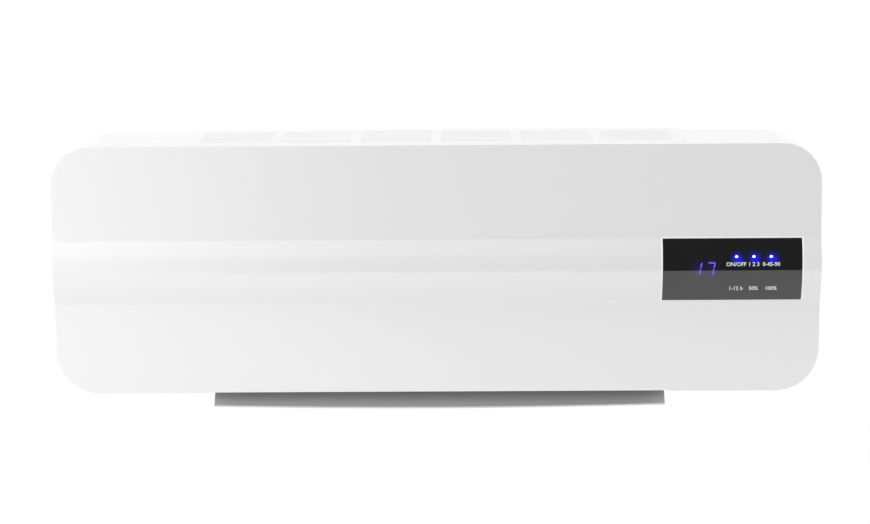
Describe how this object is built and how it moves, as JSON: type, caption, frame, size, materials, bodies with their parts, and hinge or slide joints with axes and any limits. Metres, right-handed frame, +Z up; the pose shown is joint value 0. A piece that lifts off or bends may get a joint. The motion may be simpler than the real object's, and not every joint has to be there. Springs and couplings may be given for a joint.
{
  "type": "wall fan heater",
  "caption": "Wide white bathroom wall fan heater with a curved black display window, a lift-off top air inlet, a cross-flow fan over ceramic elements and a swinging grey louvre below.",
  "frame": {"origin": "middle of the flat back that lies on the wall", "axes": "+X to the right of someone facing the heater, +Y into the wall so that the front faces -Y, +Z up"},
  "size_m": [0.5629, 0.113, 0.2025],
  "materials": {
    "casing_white": "glossy white ABS",
    "inside_white": "moulded white ABS",
    "louvre_grey": "satin grey ABS",
    "window_black": "polished black acrylic",
    "dark_plastic": "moulded black plastic",
    "heat_plastic": "heat resistant moulding",
    "board_green": "solder masked board",
    "steel": "zinc plated steel",
    "laminations": "stacked electrical steel",
    "aluminium": "bare aluminium strip",
    "brass": "bare brass",
    "copper_winding": "taped enamelled copper",
    "clear_lens": "water clear epoxy",
    "net_grey": "woven nylon",
    "capacitor_yellow": "yellow tape and epoxy case",
    "relay_blue": "blue relay case",
    "wire_blue": "PVC insulation",
    "wire_brown": "PVC insulation",
    "wire_white": "silicone insulation",
    "rubber_grey": "nitrile rubber"
  },
  "bodies": {
    "casing": {"front_cover": "casing_white", "rear_housing": "casing_white", "case_screw_1": "steel", "case_screw_2": "steel", "case_screw_3": "steel", "case_screw_4": "steel", "motor_bracket_inner": "steel", "motor_bracket_outer": "steel", "motor_screw_1": "steel", "motor_screw_2": "steel", "louvre_motor": "steel", "display_window": "window_black", "digit_module": "window_black", "display_board": "board_green", "power_board": "board_green", "terminal_block": "board_green", "infrared_receiver": "dark_plastic", "thermal_cutout": "dark_plastic", "outlet_guard": "dark_plastic", "louvre_bush": "dark_plastic", "smoothing_capacitor": "dark_plastic", "switch_housing": "dark_plastic", "led_upper_1": "clear_lens", "led_upper_2": "clear_lens", "led_upper_3": "clear_lens", "led_lower_1": "clear_lens", "led_lower_2": "clear_lens", "led_lower_3": "clear_lens", "fan_duct": "inside_white", "vortex_tongue": "inside_white", "heater_frame": "heat_plastic", "fin_row_rear": "aluminium", "fin_row_middle": "aluminium", "fin_row_front": "aluminium", "ceramic_bar_rear": "aluminium", "ceramic_bar_front": "aluminium", "heater_tab_rear": "brass", "heater_tab_front": "brass", "motor_stator": "laminations", "fan_bearing": "rubber_grey", "cable_gland": "rubber_grey", "motor_coil": "copper_winding", "relay_low": "relay_blue", "relay_high": "relay_blue", "mains_capacitor": "capacitor_yellow", "transformer": "capacitor_yellow", "heater_lead_rear": "wire_white", "heater_lead_front": "wire_white", "display_cable": "wire_white", "motor_lead": "wire_blue", "switch_lead": "wire_brown"},
    "fan": {"fan_wheel": "dark_plastic", "motor_shaft": "steel", "motor_rotor": "laminations"},
    "louvre": {"louvre_blade": "louvre_grey", "louvre_shaft": "steel"},
    "rocker": {"switch_rocker": "dark_plastic"},
    "filter_cassette": {"intake_grille": "casing_white", "filter_tray": "dark_plastic", "filter_net": "net_grey"}
  },
  "joints": [
    {"name": "fan_spin", "type": "hinge", "parent": "casing", "child": "fan", "pos_m": [0, -0.058, 0.036], "axis": [1, 0, 0], "continuous": true},
    {"name": "louvre_swing", "type": "hinge", "parent": "casing", "child": "louvre", "pos_m": [0, -0.066, -0.083], "axis": [1, 0, 0], "range_deg": [-49.6, 25]},
    {"name": "switch_rock", "type": "hinge", "parent": "casing", "child": "rocker", "pos_m": [0.2768, -0.06, -0.03], "axis": [0, 1, 0], "range_deg": [-20, 0]},
    {"name": "filter_lift", "type": "slide", "parent": "casing", "child": "filter_cassette", "axis": [0, 0, 1], "range_m": [0, 0.05]}
  ]
}
